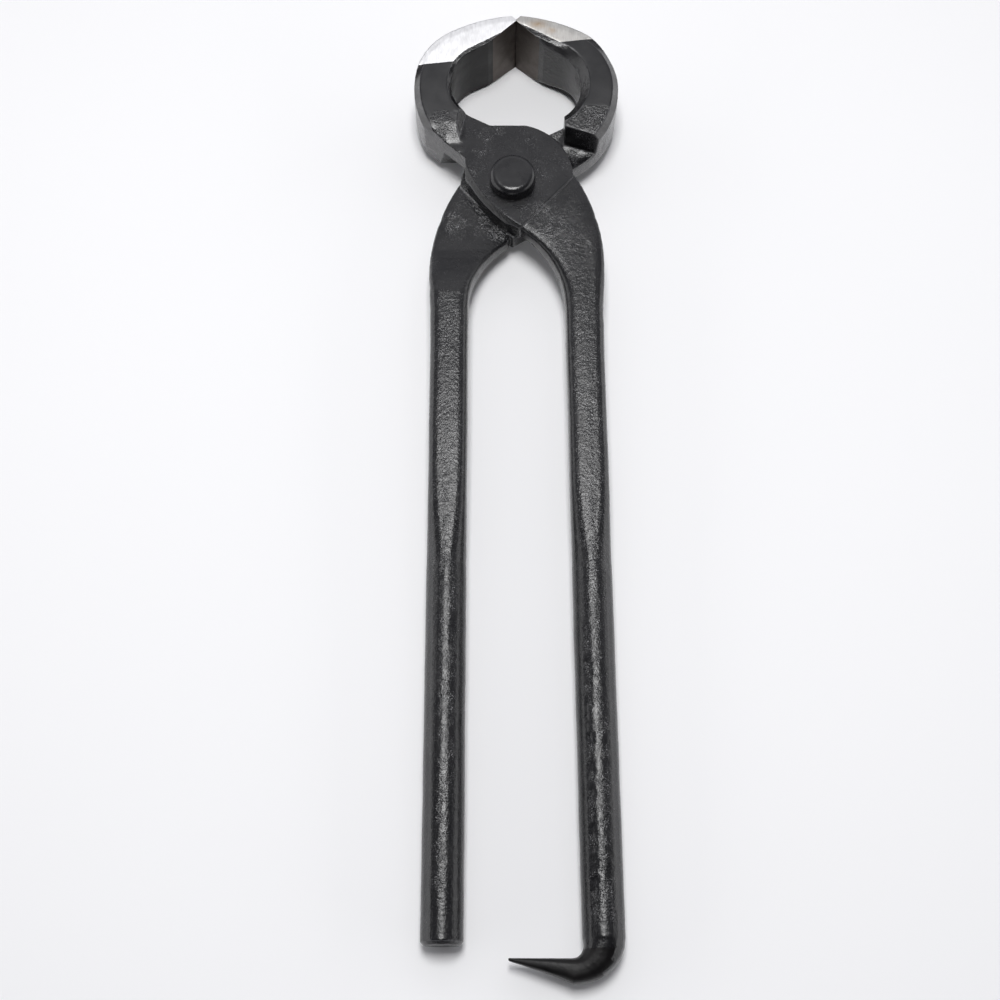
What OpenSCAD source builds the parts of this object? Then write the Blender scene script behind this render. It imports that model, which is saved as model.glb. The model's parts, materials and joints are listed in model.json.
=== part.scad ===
// Horseshoe puller
// Two forged halves cross at a lap joint and turn on one rivet. One rein ends in a hoof pick.
// X runs across the tool, Y along it towards the jaws, Z up through the rivet.
// The working frame has the closed seam at X = 0, the rivet at Y = 0 and the lap at Z = 0.

/* [Jaws] */
// Distance from the rivet to the crown of the closed jaws
jaw_reach = 69.8; // [66:0.1:73]
// Width across the closed jaws
jaw_w = 78.4; // [72:0.2:84]
// Depth of the jaws at their tips
tip_depth = 30; // [26:0.5:34]
// Depth of the jaws at their heels, beside the joint
heel_depth = 19; // [17.5:0.5:22]
// Distance from the rivet to the widest part of the jaws
jaw_mid = 40; // [38:0.5:42]
// Radius of the outer shoulders of the jaws
shoulder_r = 25.5; // [22:0.5:28]
// Radius of the crown, from the shoulders to the tips
crown_r = 65; // [50:1:80]
// Radius of the outer wall below the widest part
heel_r = 34.5; // [32:0.5:38]
// Chamfer along the outer edges of the jaws
jaw_chamfer = 2.3; // [1:0.1:3]

/* [Throat] */
// Width of the opening between the jaws
throat_w = 50; // [46:0.5:54]
// Radius of the sides of the opening
throat_r = 15; // [13:0.5:17]
// Distance from the rivet to the middle of those sides
throat_mid = 41.5; // [40:0.5:43]
// Slope of the roof of the opening
roof_slope = 28; // [22:1:32]
// Chamfer along the opening on the half with the pick
pick_side_chamfer = 1.5; // [0.8:0.1:4]
// Chamfer along the opening on the half with the plain rein
plain_side_chamfer = 3.2; // [0.8:0.1:4]

/* [Cutting edges] */
// Flat land where the two edges meet, along the tool
edge_land = 0.6; // [0.4:0.1:1.5]
// Slope of the bevel inside the edges
edge_bevel = 41; // [36:1:46]
// Width of the small outer chamfer beside each edge
nip_w = 1.65; // [0.8:0.05:2.5]
// Gap between the closed edges
seam_gap = 0.1; // [0.05:0.05:0.6]

/* [Joint] */
// Thickness of the two lapped plates together
joint_depth = 16; // [14:0.5:18]
// Radius of the round part of each plate
plate_r = 22.8; // [21:0.2:24]
// Distance from the rivet to the middle of that round, towards the jaws
plate_lift = 2.4; // [1:0.2:4]
// Distance from the rivet to the flat top of each plate
plate_top = 24.6; // [23.4:0.1:25.4]
// Room between each plate and the shoulder that faces it
plate_clearance = 2.8; // [2:0.2:4]
// Distance from the seam to where each shoulder stops short of the opening
toe_x = 18.3; // [16:0.1:20]
// How far the rivet lies to the left of the seam
rivet_offset = 1.5; // [0:0.1:3]
// Gap between the two plates
lap_gap = 0.2; // [0.1:0.05:0.4]
// Distance from the rivet to the outer end of each jaw shoulder
shoulder_y = 17.3; // [16:0.1:18.5]
// Slope of the shoulder on the half with the pick
pick_shoulder_slope = 2; // [1:1:8]
// Slope of the shoulder on the half with the plain rein
plain_shoulder_slope = 18; // [12:1:22]
// Lean of both shoulders, away from the plate that they face
shoulder_draft = 10; // [4:1:14]
// Slope of the bank that runs from the face of each jaw down to its plate
bank_slope = 16; // [13:1:20]
// Slope of the step from the jaw to the plate, beside the opening
crease_slope = 45; // [36:1:54]
// Lean of that step towards the opening
crease_lean = 13; // [9:1:17]
// Distance from the seam to the inner end of the ground heel on the half with the pick
heel_x = 19.4; // [18.8:0.1:20.4]
// Distance from the rivet to that inner end
heel_y = 10.2; // [9.2:0.1:11.2]
// Slope of the ground heel
heel_slope = 41; // [37:1:45]
// Radius of the lower flank of each plate
flank_r = 54; // [50:0.5:58]
// Distance from the seam to the edge of that flank
flank_x = -24; // [-25.5:0.1:-23]
// Distance from the rivet to the middle of that flank, along the tool
flank_y = 25; // [23:0.1:27]
// Chamfer along that flank
flank_chamfer = 1.8; // [1:0.1:2.4]
// Distance from the seam to where the line that ends the ground plate passes the rivet
ground_x = 19.2; // [17.5:0.1:20.5]
// Slope of that line
ground_slope = 47.6; // [42:0.2:54]

/* [Rivet] */
// Diameter of the rivet shank
shank_d = 10; // [8:0.5:12]
// Radial gap round the shank in the half that turns
running_fit = 0.05; // [0.03:0.01:0.1]
// Radial gap round the shank in the half that holds the rivet
seat_fit = 0.02; // [0.01:0.01:0.05]
// Diameter of the front head
head_d = 17; // [15:0.5:19]
// Height of the front head
head_h = 6.2; // [5:0.1:7]
// Diameter of the flat on top of the head
head_flat_d = 12.5; // [10:0.5:14]
// Gap under the front head
head_gap = 0.1; // [0.05:0.05:0.3]
// Diameter of the hammered tail at the back
tail_d = 16; // [14:0.5:18]
// Height of the hammered tail
tail_h = 3.4; // [2.5:0.1:4.5]

/* [Reins] */
// Diameter of the reins
rein_d = 14; // [12:0.5:15]
// Distance from the seam to the middle of each rein
rein_x = 24.7; // [22:0.1:27]
// Outward lean of the rein with the pick
pick_rein_lean = 0.6; // [0:0.1:2]
// Outward lean of the plain rein
plain_rein_lean = 0; // [0:0.1:1]
// Distance from the rivet to the end of the plain rein
plain_reach = 276; // [240:1:320]
// Chamfer at the end of the plain rein
end_chamfer = 1.2; // [0.5:0.1:2]
// Radius of the outer flank of each rein, beside the joint
hip_r = 72; // [60:1:90]
// Swell of the rein at its hip
hip_swell = 1; // [0:0.1:2]
// Radius of the hollow between the reins
crotch_r = 36; // [34:0.5:42]
// Distance from the rivet to where the hollow ends
crotch_y = 50; // [46:0.5:54]
// Distance from the rivet to the widest part of the hips
hip_y = 34; // [30:0.5:38]
// Length over which a hip eases down to the rein, past the hollow
hip_ease = 10; // [4:0.5:20]
// Distance from the rivet to where the front of the rein leaves the plate
front_ramp_y = 8; // [4:0.5:14]
// Distance from the rivet to where the back of the rein leaves the lap
back_ramp_y = 19; // [16:0.5:24]
// Distance from the rivet to where the rein has its full depth
neck_y = 46; // [42:1:60]
// Step from the ground plate down to the forged rein
step_down = 0.3; // [0.1:0.05:0.5]
// Distance from the rivet to where the flat-sided rein starts to turn round
flat_end = 112; // [90:1:125]
// Distance from the rivet to where the rein is round
round_start = 150; // [135:1:180]

/* [Pick] */
// Distance from the rivet to the outer edge of the pick
pick_reach = 287.6; // [250:0.2:330]
// Radius of the bend, at the middle of the bar
bend_r = 10; // [8:0.5:14]
// Length of the pick, past the bend
pick_len = 20.5; // [15:0.5:28]
// Width of the pick where it leaves the bend
pick_root_w = 7.9; // [6:0.1:10]
// Depth of the pick where it leaves the bend
pick_root_d = 10; // [8:0.5:12]
// Width of the point
pick_tip_w = 0.9; // [0.6:0.1:2]
// Depth of the point
pick_tip_d = 3; // [2:0.5:5]

/* [Hidden] */

// Facets round a true circle
fine = 96;
// Overlap of cutting tools past the faces that they cut
over = 1;
// How far a forged ring lies inside the round bar that it runs into
tuck = 0.05;

half_joint = joint_depth / 2;
half_lap = lap_gap / 2;
half_seam = seam_gap / 2;
rein_r = rein_d / 2;
tool_size = 4 * jaw_w;

// Depth of a jaw: one flat slope from the heel to the tip
face_slope = (tip_depth - heel_depth) / 2 / (jaw_reach - shoulder_y);
function face_z(y) = heel_depth / 2 + face_slope * (y - shoulder_y);

// Outer wall of a jaw, as three tangent arcs on the right of the seam, run on past the shoulder
heel_drop = 7;
shoulder_c = [jaw_w / 2 - shoulder_r, jaw_mid];
heel_c = [jaw_w / 2 - heel_r, jaw_mid];
crown_to_shoulder = crown_r - shoulder_r;
tip_point = [0, jaw_reach];
tip_span = norm(tip_point - shoulder_c);
tip_bearing = atan2(jaw_reach - shoulder_c.y, -shoulder_c.x);
crown_turn = acos((pow(crown_to_shoulder, 2) + pow(tip_span, 2) - pow(crown_r, 2))
    / (2 * crown_to_shoulder * tip_span));
crown_c = shoulder_c + crown_to_shoulder * unit(tip_bearing + crown_turn);
crown_start = angle_of(tip_point - crown_c);
crown_end = angle_of(shoulder_c - crown_c);
heel_end = -asin((jaw_mid - shoulder_y + heel_drop) / heel_r);
crown_at_nip = crown_c.y + sqrt(pow(crown_r, 2) - pow(nip_w - crown_c.x, 2));

// Opening: round sides under a straight roof
side_c = [throat_w / 2 - throat_r, throat_mid];
roof_start = side_c + throat_r * unit(90 - roof_slope);
roof_top = [0, roof_start.y + roof_start.x * tan(roof_slope)];
throat_end = -66;

// Cutting edge: the land lies between the outer chamfer and the inner bevel
edge_outer = crown_at_nip - nip_w;
edge_inner = edge_outer - edge_land;

// Steps along each stretch of a jaw, the same on both walls
crown_steps = 7;
shoulder_steps = 13;
heel_steps = 10;

// Working frame to the part's own frame: bottom centre of the whole tool
part_shift = [0, (pick_reach - crown_at_nip) / 2, face_z(jaw_reach - jaw_chamfer)];

function unit(a) = [cos(a), sin(a)];
function angle_of(v) = atan2(v.y, v.x);
function mix(a, b, t) = a + (b - a) * t;
function ease(t) = let(s = min(1, max(0, t))) s * s * (3 - 2 * s);
function fraction(v, a, b) = min(1, max(0, (v - a) / (b - a)));
function arc(c, r, a, b, n) = [for (i = [0 : n]) c + r * unit(mix(a, b, i / n))];
function line(a, b, n) = [for (i = [0 : n]) mix(a, b, i / n)];
function without_first(list) = [for (i = [1 : len(list) - 1]) list[i]];

outer_wall = concat(
    arc(crown_c, crown_r, crown_start, crown_end, crown_steps),
    without_first(arc(shoulder_c, shoulder_r, crown_end, 0, shoulder_steps)),
    without_first(arc(heel_c, heel_r, 0, heel_end, heel_steps)));
inner_wall = concat(
    line(roof_top, roof_start, crown_steps),
    without_first(arc(side_c, throat_r, 90 - roof_slope, 0, shoulder_steps)),
    without_first(arc(side_c, throat_r, 0, throat_end, heel_steps)));
wall_end = len(outer_wall) - 1;

// A closed skin over rings of points that all have the same count
module loft(rings) {
    n = len(rings[0]);
    last = len(rings) - 1;
    polyhedron(
        points = [for (ring = rings) each ring],
        faces = concat(
            [[for (k = [0 : n - 1]) k]],
            [for (i = [0 : last - 1], k = [0 : n - 1])
                [i * n + k, (i + 1) * n + k, (i + 1) * n + (k + 1) % n, i * n + (k + 1) % n]],
            [[for (k = [n - 1 : -1 : 0]) last * n + k]]));
}

// Eight-sided section of the left jaw
function jaw_section(i, throat_chamfer) =
    let(
        o = outer_wall[i],
        n = inner_wall[i],
        across = (n - o) / norm(n - o),
        oc = o + jaw_chamfer * across,
        nc = n - throat_chamfer * across)
    [
        [-oc.x, oc.y, -face_z(oc.y)],
        [-nc.x, nc.y, -face_z(nc.y)],
        [-n.x, n.y, throat_chamfer - face_z(n.y)],
        [-n.x, n.y, face_z(n.y) - throat_chamfer],
        [-nc.x, nc.y, face_z(nc.y)],
        [-oc.x, oc.y, face_z(oc.y)],
        [-o.x, o.y, face_z(o.y) - jaw_chamfer],
        [-o.x, o.y, jaw_chamfer - face_z(o.y)]
    ];

module jaw_blank(throat_chamfer) {
    loft([for (i = [0 : wall_end]) jaw_section(i, throat_chamfer)]);
}

// What is ground away at the tip: seam face, inner bevel and outer chamfer
bevel_margin = 4;
module tip_grinding() {
    reach = throat_w / 2 - bevel_margin;
    linear_extrude(2 * tip_depth, center = true) {
        translate([-half_seam, 0]) square([tool_size, tool_size]);
        polygon([[over, edge_inner], [-half_seam, edge_inner],
            [-half_seam - reach, edge_inner - reach * tan(edge_bevel)],
            [over, edge_inner - reach * tan(edge_bevel)]]);
        polygon([[over, edge_outer], [-half_seam, edge_outer],
            [-half_seam - reach, edge_outer + reach], [over, edge_outer + reach]]);
    }
}

// What is ground away on the face of a jaw: the bank down to the plate, and the step beside it
crease_bearing = 53;
crease_reach = 10;
crease_foot = side_c + throat_r * unit(-crease_bearing);
module face_grinding() {
    bank_rise = (throat_mid - shoulder_y) * tan(bank_slope);
    rotate([90, 0, 90])
        linear_extrude(tool_size, center = true)
            polygon([[shoulder_y, half_joint], [throat_mid, half_joint + bank_rise],
                [throat_mid, tool_size], [-tool_size, tool_size], [-tool_size, half_joint]]);
    translate([-crease_foot.x, crease_foot.y, 0]) rotate([0, 0, -crease_lean])
        translate([0, throat_r / 2, 0]) rotate([90, 0, 0])
            linear_extrude(tool_size)
                polygon([[0, half_joint], [tool_size, half_joint], [tool_size, tool_size],
                    [-crease_reach, tool_size],
                    [-crease_reach, half_joint + crease_reach * tan(crease_slope)]]);
}

// What is ground away under the heel of the left jaw
module heel_grinding() {
    linear_extrude(2 * tip_depth, center = true)
        polygon([[-heel_x, heel_y], [-heel_x, -tool_size / 2], [-tool_size / 2, -tool_size / 2],
            [-tool_size / 2, heel_y + (tool_size / 2 - heel_x) * tan(heel_slope)]]);
}

// Room on the back of a half for the other half's plate to turn in
shoulder_x = heel_c.x + sqrt(pow(heel_r, 2) - pow(jaw_mid - shoulder_y, 2));
module lap_recess(pivot_x, shoulder_slope) {
    translate([0, 0, half_lap - tip_depth])
        linear_extrude(tip_depth) {
            translate([pivot_x, 0])
                circle(plate_r + plate_lift + plate_clearance, $fn = fine);
            translate([-toe_x, throat_mid - tool_size]) square(tool_size);
        }
    intersection() {
        translate([-tool_size / 2, -tool_size / 2, half_lap - tip_depth])
            cube([tool_size, tool_size, tip_depth]);
        translate([-shoulder_x, shoulder_y, half_lap]) rotate([shoulder_draft, 0, shoulder_slope])
            translate([-tool_size / 2, -tool_size, -tool_size / 2]) cube(tool_size);
    }
}

// Round part of a plate, ended by a straight line where the rein leaves it
flank_c = [flank_r + flank_x, flank_y];
crotch_c = [rein_x - rein_r - crotch_r, -crotch_y];

module plate_round() {
    difference() {
        intersection() {
            translate([-rivet_offset, plate_lift]) circle(plate_r, $fn = fine);
            translate([-tool_size / 2, plate_top - tool_size]) square(tool_size);
            translate([ground_x, 0]) rotate(ground_slope - 90)
                translate([-tool_size, -tool_size / 2]) square(tool_size);
        }
        translate(crotch_c) circle(crotch_r, $fn = fine);
    }
}

// Web that joins the round part of a plate to its jaw
function web_root(t) = mix(inner_wall[wall_end - 1], outer_wall[wall_end - 1], t);
module plate_web(pivot_x) {
    roots = [inner_wall[wall_end], web_root(1 / 4), web_root(3 / 4), outer_wall[wall_end]];
    polygon(concat([[pivot_x, 0], [pivot_x, plate_top], [-side_c.x, plate_top]],
        [for (root = roots) [-root.x, root.y]]));
}

module plate(pivot_x) {
    plate_depth = half_joint - half_lap;
    intersection() {
        translate([0, 0, half_lap]) linear_extrude(plate_depth) plate_round();
        translate(flank_c)
            rotate_extrude($fn = fine)
                polygon([[0, -over], [flank_r, -over], [flank_r, half_joint - flank_chamfer],
                    [flank_r - flank_chamfer - over, half_joint + over], [0, half_joint + over]]);
    }
    translate([0, 0, half_lap]) linear_extrude(plate_depth) plate_web(pivot_x);
}

// Edges and faces of the rein at a height y in the working frame
hip_x = rein_x + rein_r + hip_swell;
function lean_x(y, lean) = max(0, -y - crotch_y) * tan(lean);
function outer_edge(y, lean) = y > -hip_y
    ? hip_x - hip_r + sqrt(pow(hip_r, 2) - pow(y + hip_y, 2))
    : hip_x - hip_swell * ease(fraction(-y, hip_y, crotch_y + hip_ease)) + lean_x(y, lean);
function inner_edge(y, lean, pivot_x) = y > -crotch_y
    ? max(pivot_x, crotch_c.x + sqrt(max(0, pow(crotch_r, 2) - pow(y + crotch_y, 2))))
    : rein_x - rein_r + lean_x(y, lean);
function front_z(y) = mix(half_joint - step_down, rein_r, ease(fraction(-y, front_ramp_y, neck_y)));
function back_z(y) = mix(half_lap, -rein_r, ease(fraction(-y, back_ramp_y, neck_y)));

// How square a ring is: 2 is round, larger is boxier
root_square = 7;
neck_square = 4.2;
function squareness(y) = mix(mix(root_square, neck_square, fraction(-y, 0, neck_y)), 2,
    ease(fraction(-y, flat_end, round_start)));

// One rounded ring across the XZ plane, from a box of edges
section_points = 24;
function power_of(v, e) = sign(v) * pow(abs(v), e);
function rounded_ring(x0, x1, z0, z1, y, n) = [for (k = [0 : section_points - 1])
    let(a = 360 * k / section_points)
    [(x0 + x1) / 2 + (x1 - x0) / 2 * power_of(cos(a), 2 / n), y,
        (z0 + z1) / 2 + (z1 - z0) / 2 * power_of(sin(a), 2 / n)]];

root_y = 7;
neck_step = 4;
flat_steps = 3;
turn_steps = 6;
rein_heights = concat(
    [for (y = [root_y : -neck_step : -neck_y]) y],
    line(-neck_y - neck_step, -flat_end, flat_steps),
    without_first(line(-flat_end, -round_start, turn_steps)));

module rein_neck(lean, pivot_x) {
    loft([for (y = rein_heights) rounded_ring(inner_edge(y, lean, pivot_x) + tuck,
        outer_edge(y, lean) - tuck, back_z(y) + tuck, front_z(y) - tuck, y, squareness(y))]);
}

// Round bar from the end of the neck, by its profile
module bar(lean, length, chamfer) {
    translate([rein_x + lean_x(-round_start, lean), -round_start, 0])
        rotate([90, 0, lean])
            rotate_extrude($fn = fine)
                polygon([[0, -over], [rein_r, -over], [rein_r, length - chamfer],
                    [rein_r - chamfer, length], [0, length]]);
}

// Bend and pick, forged from the end of the bar
pick_square = 3.2;
point_taper = 0.9;
pick_edge_y = -pick_reach + pick_root_w;
bar_end_y = -pick_reach + pick_root_w / 2 + bend_r;
bend_steps = 9;
pick_steps = 7;
function turned_ring(c, a, w, d, n) = [for (k = [0 : section_points - 1])
    let(b = 360 * k / section_points, u = w / 2 * power_of(cos(b), 2 / n))
    [c.x + u * cos(a), c.y + u * sin(a), d / 2 * power_of(sin(b), 2 / n)]];

module pick(lean) {
    start_x = rein_x + lean_x(bar_end_y, lean);
    bend_c = [start_x - bend_r, bar_end_y];
    loft(concat(
        [turned_ring([start_x, bar_end_y + over], 0, rein_d - 2 * tuck, rein_d - 2 * tuck, 2)],
        [for (i = [0 : bend_steps])
            let(t = i / bend_steps, a = -90 * t)
            turned_ring(bend_c + bend_r * unit(a), a, mix(rein_d - 2 * tuck, pick_root_w, ease(t)),
                mix(rein_d - 2 * tuck, pick_root_d, t), mix(2, pick_square, t))],
        [for (i = [1 : pick_steps])
            let(t = i / pick_steps, w = mix(pick_root_w, pick_tip_w, pow(t, point_taper)))
            turned_ring([bend_c.x - pick_len * t, pick_edge_y - w / 2], -90, w,
                mix(pick_root_d, pick_tip_d, t), pick_square)]));
}

// One half, seen as the front one: jaw on the left, rein on the right
module half(pivot_x, lean, throat_chamfer, shoulder_slope, bore_d) {
    difference() {
        union() {
            difference() {
                jaw_blank(throat_chamfer);
                lap_recess(pivot_x, shoulder_slope);
                tip_grinding();
                face_grinding();
            }
            plate(pivot_x);
            rein_neck(lean, pivot_x);
            children();
        }
        translate([pivot_x, 0, -joint_depth])
            cylinder(d = bore_d, h = 2 * joint_depth, $fn = fine);
    }
}

module pick_half() {
    color("#26272a") translate(part_shift)
        difference() {
            half(-rivet_offset, pick_rein_lean, pick_side_chamfer, pick_shoulder_slope,
                shank_d + 2 * running_fit) {
                bar(pick_rein_lean, -bar_end_y - round_start, 0);
                pick(pick_rein_lean);
            }
            heel_grinding();
        }
}

module plain_half() {
    color("#26272a") translate(part_shift) rotate([0, 180, 0])
        half(rivet_offset, plain_rein_lean, plain_side_chamfer, plain_shoulder_slope,
            shank_d + 2 * seat_fit)
            bar(plain_rein_lean, plain_reach - round_start, end_chamfer);
}

// Shank, front head with a rounded rim, and the hammered tail
module rivet() {
    head_z = half_joint + head_gap;
    rim = (head_d - head_flat_d) / 2;
    tail_round = 3 * tail_h / 4;
    rim_steps = 6;
    color("#1f2023") translate(part_shift + [-rivet_offset, 0, 0])
        rotate_extrude($fn = fine)
            polygon(concat(
                [[0, -half_joint - tail_h]],
                [for (i = [0 : rim_steps]) [
                    tail_d / 2 - tail_round + tail_round * sin(90 * i / rim_steps),
                    -half_joint - tail_h + tail_round * (1 - cos(90 * i / rim_steps))]],
                [[tail_d / 2, -half_joint], [shank_d / 2, -half_joint],
                    [shank_d / 2, head_z], [head_d / 2, head_z]],
                [for (i = [0 : rim_steps]) [
                    head_d / 2 - rim + rim * cos(90 * i / rim_steps),
                    head_z + head_h - rim + rim * sin(90 * i / rim_steps)]],
                [[0, head_z + head_h]]));
}

pick_half();
plain_half();
rivet();
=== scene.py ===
import json
import math

import bmesh
import bpy
import numpy as np
from mathutils import Matrix, Vector, noise


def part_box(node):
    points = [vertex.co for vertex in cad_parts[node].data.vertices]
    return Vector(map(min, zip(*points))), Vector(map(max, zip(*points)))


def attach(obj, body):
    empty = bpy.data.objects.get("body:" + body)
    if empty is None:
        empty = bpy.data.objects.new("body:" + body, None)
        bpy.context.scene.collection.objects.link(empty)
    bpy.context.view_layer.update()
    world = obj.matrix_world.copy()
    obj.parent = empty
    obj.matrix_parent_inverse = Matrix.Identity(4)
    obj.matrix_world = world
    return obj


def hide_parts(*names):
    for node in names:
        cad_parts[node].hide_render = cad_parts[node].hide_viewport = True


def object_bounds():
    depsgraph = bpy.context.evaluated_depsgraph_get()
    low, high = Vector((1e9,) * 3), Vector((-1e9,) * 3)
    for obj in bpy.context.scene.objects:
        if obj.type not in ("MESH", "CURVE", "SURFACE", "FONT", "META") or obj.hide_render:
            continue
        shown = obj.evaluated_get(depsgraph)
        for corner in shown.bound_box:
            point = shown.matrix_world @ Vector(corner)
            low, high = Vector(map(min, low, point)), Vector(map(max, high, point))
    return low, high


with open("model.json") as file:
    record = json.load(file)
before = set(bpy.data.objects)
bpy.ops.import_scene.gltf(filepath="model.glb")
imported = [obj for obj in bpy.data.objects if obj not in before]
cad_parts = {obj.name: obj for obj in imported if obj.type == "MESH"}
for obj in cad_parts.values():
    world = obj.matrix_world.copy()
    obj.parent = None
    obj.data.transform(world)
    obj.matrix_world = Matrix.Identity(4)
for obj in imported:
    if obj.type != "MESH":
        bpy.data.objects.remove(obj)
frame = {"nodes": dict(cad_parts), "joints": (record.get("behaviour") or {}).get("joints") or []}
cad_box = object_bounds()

# Lengths are in mm unless a name or comment says otherwise. The drawing frame has the closed
# seam at x = 0, the rivet at y = 0 and the middle of the lap at z = 0.
MM = 0.001
hinge = Vector(frame["joints"][0]["pos_m"])
lap_centre = Vector((0, hinge.y, hinge.z))
rivet_x = -1.5

# How the solids are cut up: what is welded, taken as one plane or as an edge, the sizes of the
# cells, the rounds of evening out, which faces look along a cut and are left out of it, and from
# where to where the reins are round bar
weld_gap = 0.12
same_plane = math.radians(0.3)
sharp_fold = math.radians(33)
cut_tolerance = 1e-7
half_cell, rivet_cell = 0.8, 0.5
half_rounds, rivet_rounds = 14, 5
looks_along = 0.93
round_bar = (-266.0, -152.0)


def in_metres(x, y, z):
    return lap_centre + Vector((x, y, z)) * MM


def ramp(value, start, end):
    """0 before start, 1 past end, smooth between; start may lie above end"""
    t = np.clip((value - start) / (end - start), 0, 1)
    return t * t * (3 - 2 * t)


def swell(points, size, offset):
    """Smooth bumps about size across, from -1 to 1, one value a point"""
    start = Vector((offset, 2 * offset, 3 * offset))
    return np.array([noise.noise(Vector(p) / size + start) for p in points])


def pits(points, size, offset):
    """1 in the middle of a pit, 0 between pits about size apart"""
    start = Vector((offset, offset, offset))
    nearest = np.array([noise.voronoi(Vector(p) / size + start)[0][0] for p in points])
    return 1 - np.clip(nearest * 1.6, 0, 1)


# Meshes

def parts_of(faces):
    """The faces with their points and edges, as the cutting tool wants them"""
    verts = list({v for f in faces for v in f.verts})
    edges = list({e for f in faces for e in f.edges})
    return verts + edges + faces


def slice_faces(bm, faces, axis, cuts):
    """Cuts the faces across one axis at each of the cuts, halving the list each time"""
    if not cuts or not faces:
        return
    middle = len(cuts) // 2
    normal = Vector((0, 0, 0))
    normal[axis] = 1
    made = bmesh.ops.bisect_plane(bm, geom=parts_of(faces), dist=cut_tolerance,
                                  plane_co=normal * cuts[middle], plane_no=normal)
    low, high = [], []
    for part in made["geom"]:
        if isinstance(part, bmesh.types.BMFace):
            side = low if part.calc_center_median()[axis] < cuts[middle] else high
            side.append(part)
    slice_faces(bm, low, axis, cuts[:middle])
    slice_faces(bm, high, axis, cuts[middle + 1:])


def cuts_between(low, high, step):
    count = max(1, round((high - low) / step))
    return [low + (high - low) * (i + 0.5) / count for i in range(count)]


def cut_into_cells(bm, box, cell, bar_y=(0, 0)):
    """Small cells everywhere, but only cuts across a round bar, whose strips are narrow: it
    lies between the two heights of bar_y, in metres"""
    low, high = box
    for axis in (1, 0, 2):
        chosen = []
        for f in bm.faces:
            in_bar = bar_y[0] < f.calc_center_median().y < bar_y[1]
            if abs(f.normal[axis]) < looks_along and (axis == 1 or not in_bar):
                chosen.append(f)
        slice_faces(bm, chosen, axis, cuts_between(low[axis], high[axis], cell))
    bmesh.ops.triangulate(bm, faces=[f for f in bm.faces if len(f.verts) > 4])


def cut_on_line(bm, line, keep):
    """Adds an edge where an upright plane through a plan line meets the chosen faces"""
    a = in_metres(*line[0], 0)
    b = in_metres(*line[1], 0)
    across = Vector((-(b - a).y, (b - a).x, 0)).normalized()
    faces = [f for f in bm.faces if keep(f)]
    bmesh.ops.bisect_plane(bm, geom=parts_of(faces), dist=cut_tolerance, plane_co=a,
                           plane_no=across)


def soften(bm, verts, factor):
    bmesh.ops.smooth_vert(bm, verts=verts, factor=factor, use_axis_x=True, use_axis_y=True,
                          use_axis_z=True)


class Skin:
    """The points of a mesh in mm, with its edges, for moving the surface"""

    def __init__(self, bm):
        bm.verts.index_update()
        self.bm = bm
        self.edges = np.array([(e.verts[0].index, e.verts[1].index) for e in bm.edges])
        self.every = np.ones(len(self.edges), bool)
        self.sharp = np.array([e.calc_face_angle(0) > sharp_fold for e in bm.edges])
        self.points = self.read()
        self.count = len(self.points)

    def forget_edges(self, low_y, high_y):
        """Takes the edges between two heights as round ones"""
        y = self.points[self.edges].mean(axis=1)[:, 1]
        self.sharp &= ~((y > low_y) & (y < high_y))

    def read(self):
        return np.array([(v.co - lap_centre) / MM for v in self.bm.verts])

    def write(self):
        for v, p in zip(self.bm.verts, self.points):
            v.co = in_metres(*p)
        self.bm.normal_update()

    def normals(self):
        return np.array([v.normal[:] for v in self.bm.verts])

    def mean_of_neighbours(self, values, chosen):
        a, b = self.edges[chosen].T
        total = np.zeros((self.count, values.shape[1]))
        degree = np.bincount(a, minlength=self.count) + np.bincount(b, minlength=self.count)
        for k in range(values.shape[1]):
            total[:, k] = (np.bincount(a, values[b, k], self.count)
                           + np.bincount(b, values[a, k], self.count))
        mean = np.where(degree[:, None] > 0, total / np.maximum(degree, 1)[:, None], values)
        return mean, degree

    def spread(self, values):
        """Each point's value evened out over its neighbours"""
        return self.mean_of_neighbours(values[:, None], self.every)[0][:, 0]

    def relax(self, rounds, share):
        """Evens out the facets. Points of a sharp edge move along it, and its corners stay.
        Each step inwards is followed by one outwards, so nothing shrinks."""
        inwards, outwards = 0.5, -0.51
        for i in range(2 * rounds):
            step = inwards if i % 2 == 0 else outwards
            mean, _ = self.mean_of_neighbours(self.points, self.every)
            along, degree = self.mean_of_neighbours(self.points, self.sharp)
            goal = np.where((degree == 2)[:, None], along, mean)
            goal = np.where(((degree == 1) | (degree > 2))[:, None], self.points, goal)
            self.points = self.points + (goal - self.points) * step * share[:, None]

    def nearness_to_edges(self, reach):
        """1 on a sharp edge, falling away over about reach rounds of neighbours"""
        fade = 0.9
        near = np.zeros(self.count)
        near[self.edges[self.sharp].ravel()] = 1
        for _ in range(reach):
            near = np.maximum(near * fade, self.spread(near))
        return near


def start_copy(node):
    bm = bmesh.new()
    bm.from_mesh(frame["nodes"][node].data)
    bmesh.ops.remove_doubles(bm, verts=bm.verts[:], dist=weld_gap * MM)
    bmesh.ops.dissolve_limit(bm, angle_limit=same_plane, verts=bm.verts[:], edges=bm.edges[:])
    return bm


def finish_piece(bm, name, materials, body, node, masks):
    mesh = bpy.data.meshes.new(name)
    bm.to_mesh(mesh)
    bm.free()
    for mask_name, values in masks.items():
        layer = mesh.attributes.new(mask_name, "FLOAT", "POINT")
        layer.data.foreach_set("value", np.asarray(values, np.float32))
    mesh.shade_smooth()
    for material in materials:
        mesh.materials.append(material)
    piece = bpy.data.objects.new(name, mesh)
    bpy.context.scene.collection.objects.link(piece)
    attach(piece, body)
    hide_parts(node)


# Materials

def add(tree, kind, **settings):
    node = tree.nodes.new(kind)
    for key, value in settings.items():
        setattr(node, key, value)
    return node


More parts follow.
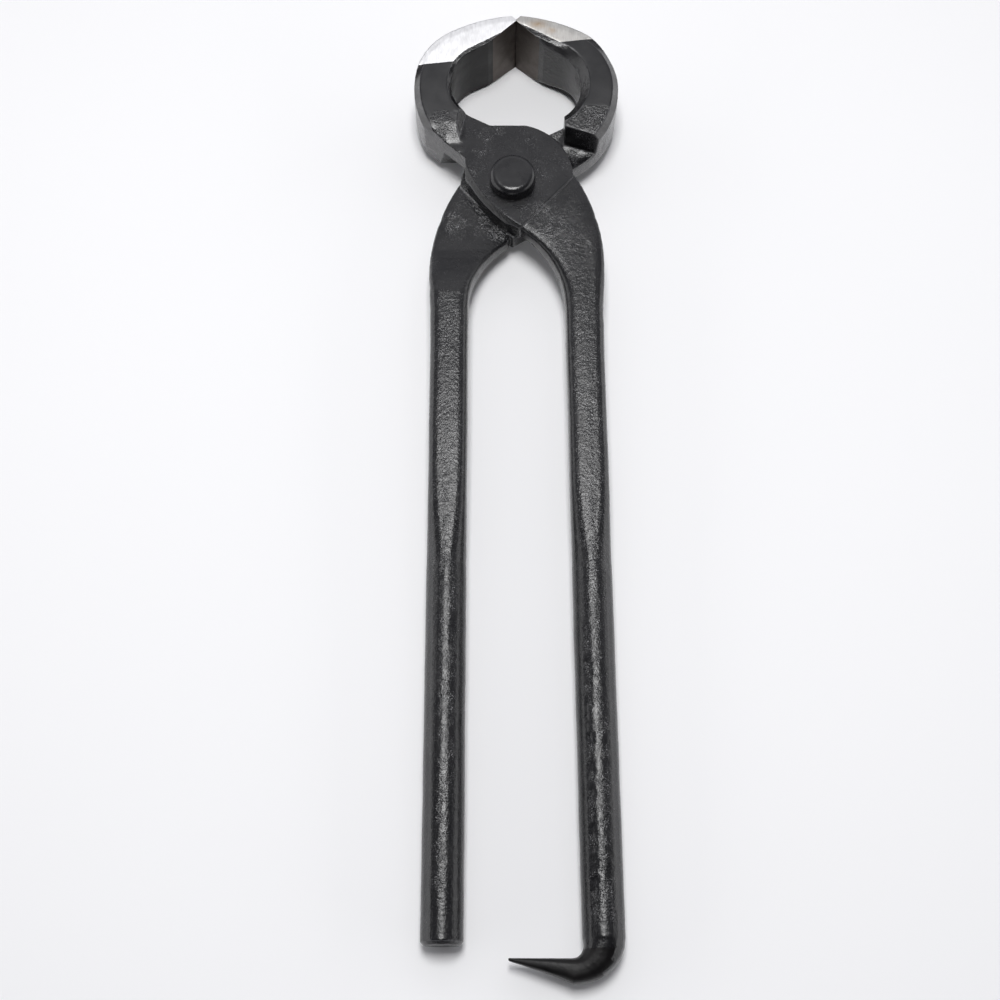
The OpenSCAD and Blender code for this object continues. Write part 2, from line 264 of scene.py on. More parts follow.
def feed(tree, socket, value):
    """Sets a socket to a number or colour, or links it to another socket"""
    if isinstance(value, (int, float)):
        socket.default_value = value
    elif isinstance(value, tuple):
        socket.default_value = (*value, 1)
    else:
        tree.links.new(value, socket)


def math_node(tree, operation, a, b, clamp=False):
    node = add(tree, "ShaderNodeMath", operation=operation, use_clamp=clamp)
    feed(tree, node.inputs[0], a)
    feed(tree, node.inputs[1], b)
    return node.outputs[0]


def noise_node(tree, vector, scale, detail, roughness):
    node = add(tree, "ShaderNodeTexNoise")
    tree.links.new(vector, node.inputs["Vector"])
    feed(tree, node.inputs["Scale"], scale)
    node.inputs["Detail"].default_value = detail
    node.inputs["Roughness"].default_value = roughness
    return node.outputs["Fac"]


def mix_colour(tree, factor, first, second):
    node = add(tree, "ShaderNodeMix", data_type="RGBA")
    tree.links.new(factor, node.inputs["Factor"])
    feed(tree, node.inputs["A"], first)
    feed(tree, node.inputs["B"], second)
    return node.outputs["Result"]


def map_range(tree, value, from_low, from_high, to_low, to_high):
    node = add(tree, "ShaderNodeMapRange")
    tree.links.new(value, node.inputs["Value"])
    for label, number in (("From Min", from_low), ("From Max", from_high),
                          ("To Min", to_low), ("To Max", to_high)):
        node.inputs[label].default_value = number
    return node.outputs["Result"]


def new_group(name, inputs, outputs):
    """A node group that takes a place and some numbers and gives numbers"""
    group = bpy.data.node_groups.new(name, "ShaderNodeTree")
    group.interface.new_socket("Vector", in_out="INPUT", socket_type="NodeSocketVector")
    for label in inputs:
        group.interface.new_socket(label, in_out="INPUT", socket_type="NodeSocketFloat")
    for label in outputs:
        group.interface.new_socket(label, in_out="OUTPUT", socket_type="NodeSocketFloat")
    given = group.nodes.new("NodeGroupInput").outputs
    out = group.nodes.new("NodeGroupOutput").inputs
    return group, given, out


def make_forged_grain():
    """Scale pits and paint lumps of forged steel as a height, with cloudy patches and painted
    glints (bright specks) from 0 to 1. Scales are cells a metre."""
    patch_scale, cluster_scale, glint_scale = 160.0, 420.0, 2300.0
    group, given, out = new_group("forged_grain", ("Grain scale", "Pit scale", "Pit share"),
                                  ("Height", "Patches", "Glints"))
    place = given["Vector"]

    grain = noise_node(group, place, given["Grain scale"], 3, 0.6)
    pit = add(group, "ShaderNodeTexVoronoi", feature="SMOOTH_F1")
    pit.inputs["Smoothness"].default_value = 0.35
    group.links.new(place, pit.inputs["Vector"])
    group.links.new(given["Pit scale"], pit.inputs["Scale"])
    pit_depth = math_node(group, "MULTIPLY", pit.outputs["Distance"], given["Pit share"])
    group.links.new(math_node(group, "ADD", grain, pit_depth), out["Height"])

    patches = noise_node(group, place, patch_scale, 3, 0.55)
    group.links.new(patches, out["Patches"])

    # Painted glints: sparse bright dots, thicker in clusters
    glint_dots = map_range(group, noise_node(group, place, glint_scale, 2, 0.6), 0.575, 0.68, 0, 1)
    clusters = map_range(group, noise_node(group, place, cluster_scale, 2, 0.5),
                         0.42, 0.62, 0.3, 1)
    group.links.new(math_node(group, "MULTIPLY", glint_dots, clusters), out["Glints"])
    return group


def make_grinding():
    """Grinding lines, which run along the tool until they are turned, and clouds over them.
    Scales are cells a metre, and the turn is in radians."""
    line_scale, line_stretch, cloud_scale = 2400.0, 0.12, 140.0
    group, given, out = new_group("grinding", ("Turn",), ("Lines", "Clouds"))
    turn = add(group, "ShaderNodeCombineXYZ")
    group.links.new(given["Turn"], turn.inputs["Z"])
    stretch = add(group, "ShaderNodeMapping")
    stretch.inputs["Scale"].default_value = (1.0, line_stretch, 1.0)
    group.links.new(given["Vector"], stretch.inputs["Vector"])
    group.links.new(turn.outputs["Vector"], stretch.inputs["Rotation"])
    lines = noise_node(group, stretch.outputs["Vector"], line_scale, 3, 0.65)
    group.links.new(lines, out["Lines"])
    clouds = noise_node(group, given["Vector"], cloud_scale, 4, 0.6)
    group.links.new(clouds, out["Clouds"])
    return group


forged_grain = make_forged_grain()
grinding = make_grinding()


class Finish:
    """A material with its shader and its place on the piece"""

    def __init__(self, name):
        self.material = bpy.data.materials.new(name)
        self.material.use_nodes = True
        self.tree = self.material.node_tree
        self.shader = self.tree.nodes["Principled BSDF"]
        self.place = add(self.tree, "ShaderNodeTexCoord").outputs["Object"]

    def effect(self, group, values):
        """Places a node group in the material with its own values, and gives its outputs"""
        node = add(self.tree, "ShaderNodeGroup", node_tree=group)
        self.tree.links.new(self.place, node.inputs["Vector"])
        for label, value in values.items():
            node.inputs[label].default_value = value
        return node.outputs

    def mask(self, name):
        return add(self.tree, "ShaderNodeAttribute", attribute_name=name).outputs["Fac"]

    def colour(self, value):
        self.tree.links.new(value, self.shader.inputs["Base Color"])

    def roughness(self, value):
        self.tree.links.new(value, self.shader.inputs["Roughness"])

    def bump(self, height, strength, depth):
        """Lets a height show in the light; its depth is in mm"""
        node = add(self.tree, "ShaderNodeBump")
        node.inputs["Distance"].default_value = depth * MM
        self.tree.links.new(height, node.inputs["Height"])
        feed(self.tree, node.inputs["Strength"], strength)
        self.tree.links.new(node.outputs["Normal"], self.shader.inputs["Normal"])


def make_forged_black():
    """Black paint over forged steel: glossy, lumpy, worn grey with a painted highlight on its
    edges, rubbed grey with a painted sheen on its outer walls, with painted glints as bright
    specks and black crust where their masks say"""
    paint_dark, paint_light = (0.0036, 0.0036, 0.0046), (0.0066, 0.0065, 0.0076)
    edge_wear_and_highlight_grey, rubbing_and_sheen_grey = (0.105, 0.105, 0.110), (0.105, 0.104, 0.106)
    glint_grey, crust_black = (0.25, 0.25, 0.26), (0.0035, 0.0034, 0.0038)
    f = Finish("forged_black_paint")
    tree = f.tree
    grain = f.effect(forged_grain, {"Grain scale": 1500.0, "Pit scale": 700.0, "Pit share": 0.5})
    coarse_and_glints, crust = f.mask("coarse_and_glints"), f.mask("crust")

    patches = map_range(tree, grain["Patches"], 0.35, 0.68, 0, 1)
    base = mix_colour(tree, patches, paint_dark, paint_light)
    # Light grey along the edges: worn paint, with a painted highlight along them
    edge_wear_and_highlight = math_node(tree, "MULTIPLY", map_range(tree, f.mask("edge_wear_and_highlight"), 0.4, 0.85, 0, 1),
                     map_range(tree, grain["Patches"], 0.3, 0.7, 0.3, 1), clamp=True)
    edged = mix_colour(tree, edge_wear_and_highlight, base, edge_wear_and_highlight_grey)
    # Light grey on the outer walls: rubbed paint, with a painted sheen where they face the side
    # lamps
    rubbing_and_sheen = math_node(tree, "MULTIPLY", f.mask("scuffs_and_sheen"),
                       map_range(tree, grain["Patches"], 0.3, 0.7, 0.35, 1))
    scuffs_and_sheen = mix_colour(tree, rubbing_and_sheen, edged, rubbing_and_sheen_grey)
    # Light grey specks: painted glints
    painted_glints = math_node(tree, "MULTIPLY", grain["Glints"],
                       map_range(tree, coarse_and_glints, 0, 0.7, 0.10, 1), clamp=True)
    glinted = mix_colour(tree, painted_glints, scuffs_and_sheen, glint_grey)
    f.colour(mix_colour(tree, crust, glinted, crust_black))

    glossier = math_node(tree, "MULTIPLY", coarse_and_glints, 0.09)
    duller = math_node(tree, "MULTIPLY", crust, 0.12)
    even = math_node(tree, "SUBTRACT", map_range(tree, patches, 0, 1, 0.21, 0.29), glossier)
    f.roughness(math_node(tree, "ADD", even, duller))

    coarse = math_node(tree, "ADD", math_node(tree, "MULTIPLY", coarse_and_glints, 0.6), crust)
    lumpy = map_range(tree, f.mask("rough"), 0, 1, 0.06, 0.36)
    f.bump(grain["Height"], math_node(tree, "ADD", lumpy, coarse, clamp=True), 0.32)
    return f.material


def make_ground_black():
    """Black paint over a ground face: even, with a few painted glints as bright specks where its
    mask says
    """
    paint_dark, paint_light = (0.0046, 0.0046, 0.0060), (0.0070, 0.0068, 0.0082)
    glint_grey = (0.27, 0.27, 0.28)
    f = Finish("ground_black_paint")
    tree = f.tree
    grain = f.effect(forged_grain, {"Grain scale": 1500.0, "Pit scale": 700.0, "Pit share": 0.4})
    coarse_and_glints = f.mask("coarse_and_glints")

    patches = map_range(tree, grain["Patches"], 0.3, 0.7, 0, 1)
    base = mix_colour(tree, patches, paint_dark, paint_light)
    # Light grey specks: painted glints
    painted_glints = math_node(tree, "MULTIPLY", grain["Glints"],
                       map_range(tree, coarse_and_glints, 0.15, 0.8, 0, 1), clamp=True)
    f.colour(mix_colour(tree, painted_glints, base, glint_grey))

    glossier = math_node(tree, "MULTIPLY", coarse_and_glints, -0.12)
    f.roughness(math_node(tree, "ADD", map_range(tree, patches, 0, 1, 0.28, 0.34), glossier))
    f.bump(grain["Height"], math_node(tree, "ADD", coarse_and_glints, 0.05, clamp=True), 0.26)
    return f.material


def make_plain_black(name, grain_values, colours, roughness, shine, bump):
    """Black paint of one kind all over, only a little cloudy"""
    f = Finish(name)
    grain = f.effect(forged_grain, grain_values)
    patches = map_range(f.tree, grain["Patches"], 0.35, 0.65, 0, 1)
    f.colour(mix_colour(f.tree, patches, *colours))
    f.roughness(map_range(f.tree, patches, 0, 1, *roughness))
    f.shader.inputs["Specular IOR Level"].default_value = shine
    f.bump(grain["Height"], *bump)
    return f.material


def make_bare_steel(name, colours, stain, stain_share, roughness, grinding_turn):
    """Bare steel with grinding lines, clouded, and stained where its mask says"""
    f = Finish(name)
    tree = f.tree
    ground = f.effect(grinding, {"Turn": math.radians(grinding_turn)})
    lines, clouds = ground["Lines"], ground["Clouds"]

    base = mix_colour(tree, map_range(tree, lines, 0.3, 0.7, 0, 1), *colours)
    clouded = map_range(tree, clouds, 0.4, 0.7, 0, stain_share)
    spot = math_node(tree, "MULTIPLY", f.mask("stain"),
                     map_range(tree, clouds, 0.3, 0.6, 0.2, 1), clamp=True)
    f.colour(mix_colour(tree, math_node(tree, "MAXIMUM", clouded, spot), base, stain))
    f.shader.inputs["Metallic"].default_value = 1.0
    f.roughness(map_range(tree, lines, 0.3, 0.7, *roughness))
    f.bump(lines, 0.12, 0.08)
    return f.material


forged_black = make_forged_black()
ground_black = make_ground_black()
# Less shiny black: painted shade, for the left jaw's throat wall and the pick
shaded_black = make_plain_black(
    "shaded_black_paint", {"Grain scale": 1100.0, "Pit scale": 400.0, "Pit share": 0.4},
    colours=((0.0036, 0.0033, 0.0036), (0.0076, 0.0070, 0.0072)),
    roughness=(0.30, 0.44), shine=0.22, bump=(0.22, 0.2))
bright_steel = make_bare_steel(
    "bright_ground_steel", colours=((0.69, 0.69, 0.70), (0.82, 0.82, 0.83)),
    stain=(0.56, 0.56, 0.57), stain_share=0.5, roughness=(0.30, 0.42), grinding_turn=62)
dull_steel = make_bare_steel(
    "dull_ground_steel", colours=((0.34, 0.335, 0.325), (0.46, 0.455, 0.445)),
    stain=(0.27, 0.195, 0.12), stain_share=0.12, roughness=(0.34, 0.5), grinding_turn=-62)
oxide_steel = make_bare_steel(
    "brown_oxide_steel", colours=((0.085, 0.073, 0.066), (0.15, 0.132, 0.12)),
    stain=(0.06, 0.05, 0.044), stain_share=0.8, roughness=(0.4, 0.55), grinding_turn=0)
rivet_black = make_plain_black(
    "rivet_black_paint", {"Grain scale": 800.0, "Pit scale": 300.0, "Pit share": 0.15},
    colours=((0.0070, 0.0070, 0.0084), (0.0100, 0.0098, 0.0112)),
    roughness=(0.24, 0.32), shine=0.5, bump=(0.2, 0.14))

# Places in a half's list of materials
FORGED, GROUND, BARE, OXIDE, SHADED = range(5)


# The two halves

# side: -1 where the jaw is on the left and 1 where it is on the right. tip_line: the straight
# edge of the bare steel. ground_from: where the jaw's face stops being ground. rein_end: where
# sharp edges start again at the end of the rein. speckles: coarse patches in the paint, with
# painted glints in them, x, y and radius. crusts: black crusty hollows, x, y and radius.
# scallops: rows down the rein, with painted glints in them, start and end, distance out from
# the middle, half width and depth. stains: brown spots on the bare steel, x, y and two half
# widths. nicks: x, y, z, radius and depth.
pick_look = dict(
    side=-1, tip_line=((-35.7, 48.8), (-24.0, 50.1)), tip_steel=bright_steel, ground_from=25.3,
    rein_end=-281,
    speckles=((-28.5, 20.6, 4.6), (-29, 9, 6.0), (-6, 22.5, 3.0), (-12, 20, 3.5), (5, 18, 2.5),
              (-14, 13.7, 4.0), (-17.5, 2.7, 3.0), (9, -12, 4.0), (14, -20, 5.0)),
    crusts=(),
    scallops=((-172, -268, -3.2, 1.2, 0.40), (-120, -262, 0.4, 1.6, 0.05),
              (-200, -268, 2.2, 0.9, 0.12)),
    stains=(),
    nicks=((5.5, -23, 0, 1.3, 0.6), (16.2, -37.7, 0, 1.4, 0.5), (32, -53.9, 0, 2.4, 0.35),
           (-32, 21, 8, 1.2, 0.3), (-21, 12.5, 8, 1.0, 0.3), (30.5, -14, 7.5, 1.6, 0.3)))
plain_look = dict(
    side=1, tip_line=((27.5, 59.6), (14.6, 58.1)), tip_steel=dull_steel, ground_from=32,
    rein_end=-270,
    speckles=((27, 25, 6.5), (24.5, 48, 2.0), (-20.7, 3, 3.5), (-10, -14, 4.5),
              (-13.8, -5.7, 4.0), (-6, -18.7, 3.0), (-24, -12, 5.0), (21, 11, 6.0)),
    crusts=((-15, -6, 5.5), (-10, -15, 5.0), (-19, 2, 3.5)),
    scallops=((-110, -262, 0.6, 1.5, 0.05), (-150, -225, -2.6, 1.0, 0.10)),
    stains=((8.7, 66.0, 3.4, 1.9), (13.5, 63.5, 2.0, 1.4)),
    nicks=((-32.1, -42, 0, 2.2, 0.4), (-18.2, -70.2, 0, 1.8, 0.35),
           (24.5, 11.2, 0, 1.2, 0.35), (-28.5, -12, 0, 1.8, 0.3), (33, 21, 0, 1.4, 0.3)))

# The jaws: where they, their middle and their tips lie, the flat face's height at the shoulder,
# the shoulder's place and the face's slope, the chamfers, how far down the wall stretches, and
# the bank under the left one
jaws_from, jaws_middle, tips_from = 24, 40, 40
face_at_shoulder, shoulder_y, face_slope = 9.5, 17.3, 0.104762
outer_chamfer, tip_chamfer, wall_stretch = 2.3, 0.1, 6.0
bank_top, bank_slope = 24.0, 0.27

# The lap: height of the plates, where they end, how far out the rivet's bore is left alone, and
# how far from the rivet the lap's floor comes into view outside the plate that turns on it
plate_height, plates_to, bore_reach = 8, 30, 5.4
floor_seen_from, floor_seen_whole = 25.2, 27.0

# The reins: middle, how far the pick's rein leans out below its start, from where down their
# edges count as round, and where the pick starts
rein_x, rein_from, pick_lean = 24.7, 38, 0.0105
reins_round_from, pick_from = -25, -277


def line_side(points, line):
    """Distance from a line in the plan, positive towards the jaw tips"""
    a, b = np.array(line[0]), np.array(line[1])
    along = (b - a) / np.linalg.norm(b - a)
    across = np.array([-along[1], along[0]])
    if across[1] < 0:
        across = -across
    return (points[:, :2] - a) @ across


def face_height(y):
    """Height of the jaws' flat faces"""
    return face_at_shoulder + face_slope * (y - shoulder_y)


def rein_middle(y, side):
    """Where the middle of a half's rein lies across the plan"""
    lean = pick_lean if side < 0 else 0
    return -side * (rein_x + lean * np.clip(-y - rein_from, 0, None))


def spots(x, y, places, sharpness):
    """Round spots, 1 in the middle: x, y and radius of each"""
    out = np.zeros(len(x))
    for spot_x, spot_y, radius in places:
        away = np.hypot(x - spot_x, y - spot_y) / radius
        out = np.maximum(out, np.exp(-away ** sharpness))
    return out


def find_stains(points, stains):
    """Oval stains, 1 in the middle"""
    x, y, _ = points.T
    out = np.zeros(len(points))
    for spot_x, spot_y, half_x, half_y in stains:
        away = np.hypot((x - spot_x) / half_x, (y - spot_y) / half_y)
        out = np.maximum(out, np.exp(-away * away))
    return out


def square_tips(points, tip_line):
    """Fills the chamfer where the bare tips are ground square: its depth below the jaw's flat
    face shrinks to that of a thin edge, and the wall under it stretches to match"""
    y, z = points[:, 1], points[:, 2]
    face = face_height(y)
    depth = face - np.abs(z)
    squared = np.interp(depth, (0, outer_chamfer, wall_stretch), (0, tip_chamfer, wall_stretch))
    share = ramp(line_side(points, tip_line), -9, 2) * (y > 30)
    moved = np.sign(z) * (face - squared)
    reached = (depth > 0) & (depth < wall_stretch)
    return np.where(reached, z + (moved - z) * share, z)


def fill_bank(points, normals):
    """Carries the left jaw's flat face on down to the bank, which then falls to the plate"""
    x, y, z = points.T
    slope_down = face_height(bank_top) - bank_slope * (bank_top - y)
    goal = np.where(y > bank_top, face_height(y), slope_down)
    share = ramp(x, -38, -35.5) * ramp(x, -19, -22.5) * ramp(y, 15.5, 18.5) * ramp(y, 31, 29)
    share = share * (z > 6) * (normals[:, 2] > 0.8)
    return np.where(goal > z - 1, z + (goal - z) * share, z)


def find_scuffs_and_sheen(points, normals, side):
    """The outer walls, rubbed grey and given a painted sheen: most on the jaws, less along the
    reins and round the right jaw's opening"""
    x, y, z = points.T
    throat_y = 25
    away = np.hypot(x, y - throat_y) + 1e-6
    outward = (normals[:, 0] * x + normals[:, 1] * (y - throat_y)) / away
    head_end = np.where((z > -0.5) & (side < 0), 6, -14)
    head = ramp(outward, 0.35, 0.6) * ramp(y, head_end, head_end + 6)
    opening = 0.3 * ramp(-outward, 0.3, 0.5) * (normals[:, 2] > 0.4) * (side > 0) * (y > 12)
    rein = 0.22 * ramp(-side * normals[:, 0], 0.45, 0.7) * ramp(y, -35, -55)
    return np.maximum(head, np.maximum(opening, rein))


def choose_finish(face, side, tip_line, ground_from):
    """The finish of one face of a half, from where it lies and which way it looks"""
    centre = (face.calc_center_median() - lap_centre) / MM
    x, y, z = centre
    normal = face.normal
    level = abs(normal.z)
    on_jaw = x * side > 0 and y > jaws_from
    outward = normal.x * x + normal.y * (y - jaws_middle) > 0
    jaw_face = on_jaw and level > 0.9
    chamfer = on_jaw and outward and 0.5 < level < 0.9
    tip_end = abs(x) < 2 and y > 67.6 and normal.y > 0.3 and level < 0.2
    inner_bevel = (abs(x) < 9 and 48 < y < 68 and level < 0.2 and normal.y < -0.6
                   and abs(normal.x) > 0.6)
    throat_wall = on_jaw and not outward and y < 63 and level < 0.3
    pick = y < pick_from and normal.x < 0.45
    plate = y < plates_to and level > 0.97 and abs(-side * z - plate_height) < 0.12
    past_line = line_side(np.array([centre[:]]), tip_line)[0] > 0
    if past_line and (jaw_face or chamfer) or tip_end:
        return BARE
    if inner_bevel:
        return OXIDE
    # Less shiny black on the left jaw's throat wall and the pick: painted shade
    if side < 0 and (throat_wall or pick):
        return SHADED
    if jaw_face and y > ground_from or plate:
        return GROUND
    return FORGED


def even_out(bm, side, tip_line, rein_end):
    """The skin of a half with its facets evened out and its tips ground square"""
    skin = Skin(bm)
    skin.forget_edges(rein_end, reins_round_from)
    _, y, z = skin.points.T
    in_bar = (y < round_bar[1]) & (y > round_bar[0])
    on_tip_line = np.abs(line_side(skin.points, tip_line)) < 0.02
    on_tip_line &= (y > tips_from) & (np.abs(z) > 9)
    skin.relax(half_rounds, np.where(in_bar | on_tip_line, 0.0, 1.0))
    skin.points[:, 2] = square_tips(skin.points, tip_line)
    if side < 0:
        skin.points[:, 2] = fill_bank(skin.points, skin.normals())
    skin.write()
    return skin


def find_rough(skin):
    """1 where a half is forged and 0 on its ground faces, which stay flat"""
    ground = np.zeros(skin.count)
    for f in skin.bm.faces:
        if f.material_index in (GROUND, BARE, OXIDE):
            for v in f.verts:
                ground[v.index] = 1
    for _ in range(2):
        ground = skin.spread(ground)
    return 1 - ramp(ground, 0.3, 0.9)


def round_edges(skin, rough, edge_wear_and_highlight):
    """Wears the forged edges round and takes the sharpness off the ground ones"""
    bm = skin.bm
    soften(bm, [v for v in bm.verts if rough[v.index] > 0.5 and edge_wear_and_highlight[v.index] > 0.6], 0.45)
    soften(bm, [v for v in bm.verts if rough[v.index] <= 0.5 and edge_wear_and_highlight[v.index] > 0.7], 0.3)
    bm.normal_update()
    skin.points = skin.read()


def scallop_rows(points, side, scallops, patchy):
    """The rows of scallops down a rein: their coarse paint with painted glints, and their depth
    """
    _, y, z = points.T
    off_middle = points[:, 0] - rein_middle(y, side)
    scallop_glints, grooves = np.zeros(len(points)), np.zeros(len(points))
    for start, end, out, half_width, depth in scallops:
        off = np.abs(off_middle + side * out) / half_width
        along = ramp(y, start + 6, start - 6) * ramp(y, end - 4, end + 4) * (z > 0)
        row = np.exp(-off * off) * along
        scallop_glints = np.maximum(scallop_glints, 0.8 * row * patchy)
        grooves += depth * row * (0.5 + 1.1 * swell(points, 1.9, 8.8 * side + out))
    return scallop_glints, grooves


def forging_lumps(points, side, rough):
    """Height of the lumps, scale pits and slow waves that forging leaves"""
    lumps = (0.07 * swell(points, 11.0, 1.7 * side) + 0.024 * swell(points, 4.2, 5.1 * side)
             + 0.012 * swell(points, 2.2, 9.3 * side) - 0.014 * pits(points, 2.6, 3.0 * side))
    wave = 0.12 * swell(points, 26.0, 11.0 * side) * ramp(points[:, 1], -35, -60)
    return rough * (lumps + wave) - 0.04 * rough


def cut_nicks(height, points, nicks):
    """The height with the edges' nicks in it; they reach further up and down than across"""
    x, y, z = points.T
    for nick_x, nick_y, nick_z, radius, depth in nicks:
        away = np.sqrt((x - nick_x) ** 2 + (y - nick_y) ** 2 + 0.3 * (z - nick_z) ** 2) / radius
        height = height - depth * np.exp(-away * away)
    return height


def stay_in_box(points):
    low = np.array((cad_box[0] - lap_centre) / MM)
    high = np.array((cad_box[1] - lap_centre) / MM)
    return np.clip(points, low, high)


def dress_half(node, name, body, side, tip_line, tip_steel, ground_from, rein_end, speckles,
               crusts, scallops, stains, nicks):
    bm = start_copy(node)
    tips_y = in_metres(0, tips_from, 0).y
    cut_on_line(bm, tip_line, lambda f: f.calc_center_median().y > tips_y)
    bar_y = [in_metres(0, y, 0).y for y in round_bar]
    cut_into_cells(bm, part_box(node), half_cell * MM, bar_y)
    for f in bm.faces:
        f.material_index = choose_finish(f, side, tip_line, ground_from)

    skin = even_out(bm, side, tip_line, rein_end)
    # Band along the sharp edges, which rounds them and greys them as worn paint with a painted
    # highlight
    edge_wear_and_highlight = skin.nearness_to_edges(2)
    rough = find_rough(skin)
    # Rubbed grey with a painted sheen on the outer walls
    scuffs_and_sheen = find_scuffs_and_sheen(skin.points, skin.normals(), side)
    round_edges(skin, rough, edge_wear_and_highlight)
    points = skin.points
    x, y, z = points.T

    # Coarse paint with painted glints: in patches, down the scallops and on top of the upper
    # reins
    patchy = ramp(swell(points, 3.0, 2.2 * side), -0.3, 0.2)
    scallop_glints, grooves = scallop_rows(points, side, scallops, patchy)
    rein_top = (ramp(np.abs(x - rein_middle(y, side)), 6.2, 4.6) * (z > 0) * ramp(y, -38, -60)
                * ramp(y, -200, -150))
    coarse_and_glints = np.maximum(spots(x, y, speckles, 2) * patchy, scallop_glints)
    coarse_and_glints = np.maximum(coarse_and_glints, rein_top * (0.2 + 0.25 * swell(points, 6.0, 3.3 * side)))
    crust = spots(x, y, crusts, 4) * ((z > 0.6) & (rough > 0.5))
    stain = find_stains(points, stains)

    # How far each point moves outwards
    height = forging_lumps(points, side, rough)
    height = height + coarse_and_glints * 0.03 * swell(points, 1.9, 4.4 * side) - grooves
    height = height - crust * (0.25 + 0.22 * swell(points, 2.4, 6.6 * side))
    height = cut_nicks(height, points, nicks)

    # The bore stays as it is, and so does the lap's floor, apart from where it is open to view:
    # it lies lower there
    normals = skin.normals()
    from_rivet = np.hypot(x - rivet_x, y)
    bore = (from_rivet < bore_reach) & (np.abs(z) < 9)
    lap_floor = (np.abs(z) < 0.5) & (y > -60) & (np.abs(normals[:, 2]) > 0.3)
    open_floor = ramp(from_rivet, floor_seen_from, floor_seen_whole)
    open_floor = open_floor * (side > 0) * (x > 8) * (y > 0)
    by_edge = np.clip(1.4 * skin.nearness_to_edges(5), 0, 1)
    sunk = -open_floor * (0.8 * (1 - by_edge) + 0.2 * swell(points, 2.0, 7.7))
    height = np.where(bore, 0, np.where(lap_floor, sunk, height))
    # More coarse paint with painted glints: on the open lap floor and on the plates
    coarse_and_glints = np.maximum(coarse_and_glints, 0.9 * open_floor * lap_floor * patchy)
    plate = (y < plates_to) & (rough < 0.6) & (np.abs(z) > 7)
    coarse_and_glints = np.maximum(coarse_and_glints, (0.26 + 0.2 * swell(points, 6.0, 5.0)) * plate)

    skin.points = points + normals * height[:, None]
    seam = (np.abs(x) < 0.3) & (y > 55)
    skin.points[seam, 0] = 0.005 * side
    skin.points = stay_in_box(skin.points)
    skin.write()
    finish_piece(bm, name, [forged_black, ground_black, tip_steel, oxide_steel, shaded_black],
                 body, node,
                 {"rough": rough, "edge_wear_and_highlight": edge_wear_and_highlight, "coarse_and_glints": coarse_and_glints, "crust": crust,
                  "stain": stain, "scuffs_and_sheen": scuffs_and_sheen})


def dress_rivet():
    """The rivet, hammered a little out of true, with its shank left alone"""
    bm = start_copy("rivet")
    cut_into_cells(bm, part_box("rivet"), rivet_cell * MM)
    skin = Skin(bm)
    skin.relax(rivet_rounds, np.ones(skin.count))
    skin.write()
    points = skin.points
    x, y, z = points.T
    shank = (np.abs(z) < 8.1) & (np.hypot(x - rivet_x, y) < 5.3)
    height = 0.06 * swell(points, 4.5, 21.0) + 0.03 * swell(points, 1.8, 8.0) - 0.03
    skin.points = points + skin.normals() * np.where(shank, 0, height)[:, None]
    skin.write()
    finish_piece(bm, "hammered_rivet", [rivet_black], "plain_side", "rivet", {})


dress_half("pick_half", "pick_half_forging", "pick_side", **pick_look)
dress_half("plain_half", "plain_half_forging", "plain_side", **plain_look)
dress_rivet()


# Floor, lights and camera, in metres

def make_floor():
    """A pale table that the tool lies on: under the jaws' tips and under the reins' backs"""
    half_size, slope, jaw_tips_y = 3.0, 0.02262, 0.1764
    bm = bmesh.new()
    bmesh.ops.create_grid(bm, x_segments=2, y_segments=2, size=half_size)
    tilt = Matrix.Rotation(-math.atan(slope), 4, "X")
    bmesh.ops.transform(bm, matrix=Matrix.Translation((0, jaw_tips_y, 0)) @ tilt, verts=bm.verts)
    mesh = bpy.data.meshes.new("floor")
    bm.to_mesh(mesh)
    bm.free()
    floor = bpy.data.objects.new("floor", mesh)
    bpy.context.scene.collection.objects.link(floor)
    f = Finish("white_table")
    cloud = noise_node(f.tree, f.place, 3.0, 2, 0.5)
    f.colour(mix_colour(f.tree, cloud, (0.885, 0.885, 0.895), (0.91, 0.91, 0.92)))
    f.shader.inputs["Roughness"].default_value = 0.6
    f.shader.inputs["Specular IOR Level"].default_value = 0.2
    mesh.materials.append(f.material)


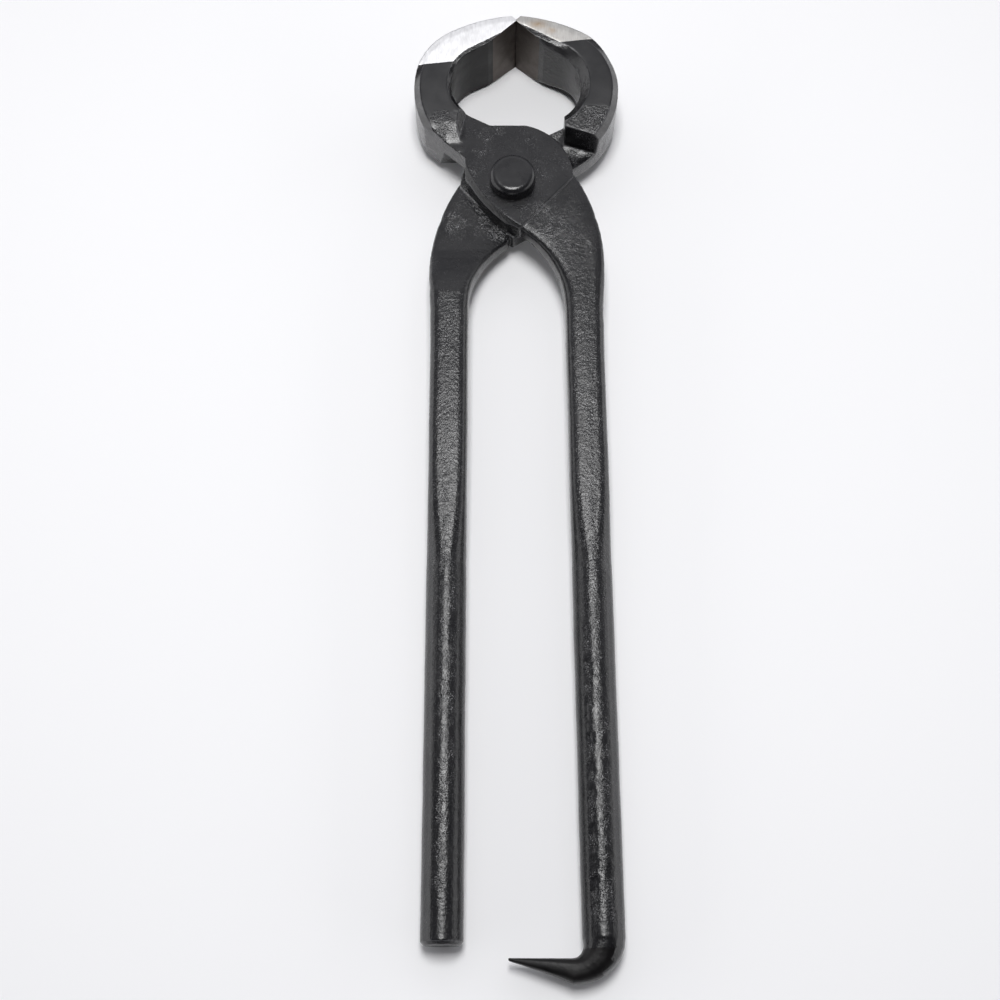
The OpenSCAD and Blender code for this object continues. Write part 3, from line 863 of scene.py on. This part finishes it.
def add_panel(name, centre, aim, width, height, radiance):
    """A flat soft light that the camera doesn't see"""
    light = bpy.data.lights.new(name, "AREA")
    light.shape = "RECTANGLE"
    light.size = width
    light.size_y = height
    light.energy = radiance * math.pi * width * height
    panel = bpy.data.objects.new(name, light)
    panel.location = centre
    panel.rotation_euler = (Vector(aim) - Vector(centre)).to_track_quat("-Z", "Y").to_euler()
    panel.visible_camera = False
    bpy.context.scene.collection.objects.link(panel)


def add_studio():
    """The room around the table: pale behind the tool and dark in front of it"""
    world = bpy.data.worlds.new("studio")
    world.use_nodes = True
    tree = world.node_tree
    place = add(tree, "ShaderNodeTexCoord").outputs["Generated"]
    split = add(tree, "ShaderNodeSeparateXYZ")
    tree.links.new(place, split.inputs["Vector"])
    background = tree.nodes["Background"]
    background.inputs["Color"].default_value = (0.94, 0.94, 1.0, 1)
    strength = map_range(tree, split.outputs["Y"], -0.15, 0.5, 0.08, 0.50)
    tree.links.new(strength, background.inputs["Strength"])
    bpy.context.scene.world = world


def add_camera():
    """Looks steeply down along the tool, turned and tipped sideways by half a degree"""
    place_m, lens_mm = (-0.0076, -0.20341, 0.52463), 55.49
    down, yaw, roll = (math.radians(a) for a in (69.779, 0.443, 0.487))
    forward = Vector((math.sin(yaw) * math.cos(down), math.cos(yaw) * math.cos(down),
                      -math.sin(down)))
    right = Vector((math.cos(yaw), -math.sin(yaw), 0))
    up = right.cross(forward)
    turned_right = right * math.cos(roll) + up * math.sin(roll)
    turned_up = up * math.cos(roll) - right * math.sin(roll)
    camera = bpy.data.cameras.new("camera")
    camera.sensor_width = 36.0
    camera.lens = lens_mm
    camera.clip_start = 0.01
    camera.clip_end = 20.0
    rig = bpy.data.objects.new("camera", camera)
    pose = Matrix((turned_right, turned_up, -forward)).transposed().to_4x4()
    pose.translation = place_m
    rig.matrix_world = pose
    bpy.context.scene.collection.objects.link(rig)
    bpy.context.scene.camera = rig


make_floor()
tool_middle = (0, 0, 0.01)
add_panel("overhead_softbox", (-0.02, 0.115, 0.92), (-0.02, 0.115, 0), 0.24, 0.35, 23.2)
add_panel("far_panel", (0, 1.25, 1.05), tool_middle, 1.8, 0.7, 0.55)
add_panel("left_panel", (-1.3, 0.1, 0.30), tool_middle, 2.2, 0.6, 1.6)
add_panel("right_panel", (1.3, 0.1, 0.30), tool_middle, 2.2, 0.6, 1.6)
add_studio()
bpy.context.scene.view_settings.view_transform = "Standard"
add_camera()
